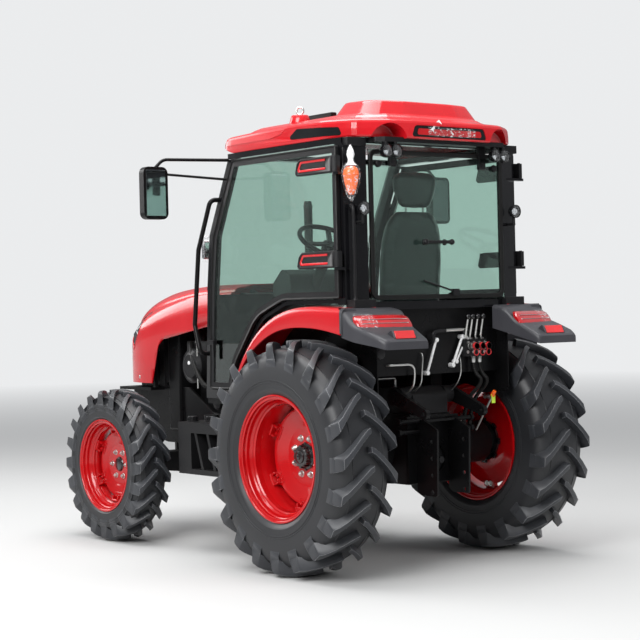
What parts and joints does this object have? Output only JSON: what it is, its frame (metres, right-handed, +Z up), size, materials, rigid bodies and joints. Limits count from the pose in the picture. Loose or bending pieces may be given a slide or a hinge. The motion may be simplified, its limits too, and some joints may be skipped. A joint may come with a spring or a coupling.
{
  "type": "farm tractor",
  "caption": "Compact four wheel drive farm tractor with a closed glazed cab, lugged tyres, tilting hood, swinging doors, steered front axle and rear lift arms.",
  "frame": {"origin": "on the ground under the middle of the bounding box", "axes": "+X forwards, +Y to the left, +Z up"},
  "size_m": [3.065, 2.208, 2.4624],
  "materials": {
    "red_paint": "gloss",
    "wheel_red": "gloss",
    "black_paint": "satin",
    "dark_casting": "satin",
    "tyre_rubber": "matte",
    "green_glass": "clear",
    "grey_plastic": "matte",
    "black_plastic": "matte",
    "seat_vinyl": "satin",
    "lamp_red": "gloss",
    "lamp_clear": "gloss",
    "beacon_orange": "gloss",
    "hose_rubber": "matte",
    "zinc_steel": "satin",
    "radiator_core": "matte"
  },
  "bodies": {
    "chassis": {"gearbox": "dark_casting", "engine": "dark_casting", "front_frame": "black_paint", "front_axle": "dark_casting", "radiator": "radiator_core", "air_cleaner": "black_plastic", "exhaust": "black_paint", "step_tanks": "black_plastic", "cab_floor": "black_paint", "cowl": "black_plastic", "cab_frame": "black_paint", "windscreen": "green_glass", "rear_window": "green_glass", "rear_window_fittings": "black_plastic", "roof": "red_paint", "roof_overhang": "black_plastic", "roof_vents": "black_plastic", "stop_lamp": "lamp_red", "trailer_socket": "zinc_steel", "fenders": "red_paint", "fender_tails": "grey_plastic", "seat_pedestal": "black_plastic", "seat_cushion": "seat_vinyl", "seat_back": "seat_vinyl", "console": "grey_plastic", "lift_housing": "dark_casting", "drawbar_ladder": "black_paint", "hydraulic_valves": "dark_casting", "hydraulic_lines": "hose_rubber", "mirrors": "black_plastic", "grab_rails": "black_paint", "tail_lamps": "lamp_red", "cab_lamps": "lamp_clear", "beacon": "beacon_orange"},
    "hood": {"hood": "red_paint", "grille": "black_plastic", "head_lamps": "lamp_clear"},
    "door_left": {"door_frame_left": "black_paint", "door_glass_left": "green_glass"},
    "door_right": {"door_frame_right": "black_paint", "door_glass_right": "green_glass"},
    "knuckle_left": {"knuckle_left": "dark_casting"},
    "knuckle_right": {"knuckle_right": "dark_casting"},
    "front_wheel_left": {"front_tyre_left": "tyre_rubber", "front_wheel_left": "wheel_red"},
    "front_wheel_right": {"front_tyre_right": "tyre_rubber", "front_wheel_right": "wheel_red"},
    "rear_wheel_left": {"rear_tyre_left": "tyre_rubber", "rear_wheel_left": "wheel_red"},
    "rear_wheel_right": {"rear_tyre_right": "tyre_rubber", "rear_wheel_right": "wheel_red"},
    "steering_rod": {"steering_rod": "black_paint"},
    "steering_wheel": {"steering_wheel": "black_plastic"},
    "lift_arms": {"lift_arms": "dark_casting"}
  },
  "joints": [
    {"name": "steer_left", "type": "hinge", "parent": "chassis", "child": "knuckle_left", "pos_m": [1.0415, 0.48, 0.455], "axis": [0, 0, 1], "range_deg": [-38, 38]},
    {"name": "steer_right", "type": "hinge", "parent": "chassis", "child": "knuckle_right", "pos_m": [1.0415, -0.48, 0.455], "axis": [0, 0, 1], "range_deg": [-38, 38]},
    {"name": "steering_rod_slide", "type": "slide", "parent": "chassis", "child": "steering_rod", "axis": [0, 1, 0], "range_m": [-0.075, 0.075]},
    {"name": "steering_wheel_turn", "type": "hinge", "parent": "chassis", "child": "steering_wheel", "pos_m": [-0.2825, 0, 1.74], "axis": [-0.5299, 0, 0.848], "range_deg": [-343, 343]},
    {"name": "front_left_spin", "type": "hinge", "parent": "knuckle_left", "child": "front_wheel_left", "pos_m": [1.0415, 0.645, 0.455], "axis": [0, 1, 0], "continuous": true},
    {"name": "front_right_spin", "type": "hinge", "parent": "knuckle_right", "child": "front_wheel_right", "pos_m": [1.0415, -0.645, 0.455], "axis": [0, 1, 0], "continuous": true},
    {"name": "rear_left_spin", "type": "hinge", "parent": "chassis", "child": "rear_wheel_left", "pos_m": [-0.8425, 0.685, 0.605], "axis": [0, 1, 0], "continuous": true},
    {"name": "rear_right_spin", "type": "hinge", "parent": "chassis", "child": "rear_wheel_right", "pos_m": [-0.8425, -0.685, 0.605], "axis": [0, 1, 0], "continuous": true},
    {"name": "hood_tilt", "type": "hinge", "parent": "chassis", "child": "hood", "pos_m": [0.2575, 0, 1.48], "axis": [0, -1, 0], "range_deg": [0, 50]},
    {"name": "door_left_swing", "type": "hinge", "parent": "chassis", "child": "door_left", "pos_m": [-1.1485, 0.64, 1.8], "axis": [0, 0, 1], "range_deg": [0, 75]},
    {"name": "door_right_swing", "type": "hinge", "parent": "chassis", "child": "door_right", "pos_m": [-1.1485, -0.64, 1.8], "axis": [0, 0, -1], "range_deg": [0, 75]},
    {"name": "lift_arms_raise", "type": "hinge", "parent": "chassis", "child": "lift_arms", "pos_m": [-1.0425, 0, 0.895], "axis": [0, 1, 0], "range_deg": [-12, 55]}
  ],
  "couplings": [
    {"joint": "steer_right", "follows": "steer_left", "ratio": 1},
    {"joint": "steering_rod_slide", "follows": "steer_left", "m_per_rad": 0.1114},
    {"joint": "steering_wheel_turn", "follows": "steer_left", "ratio": 9}
  ]
}
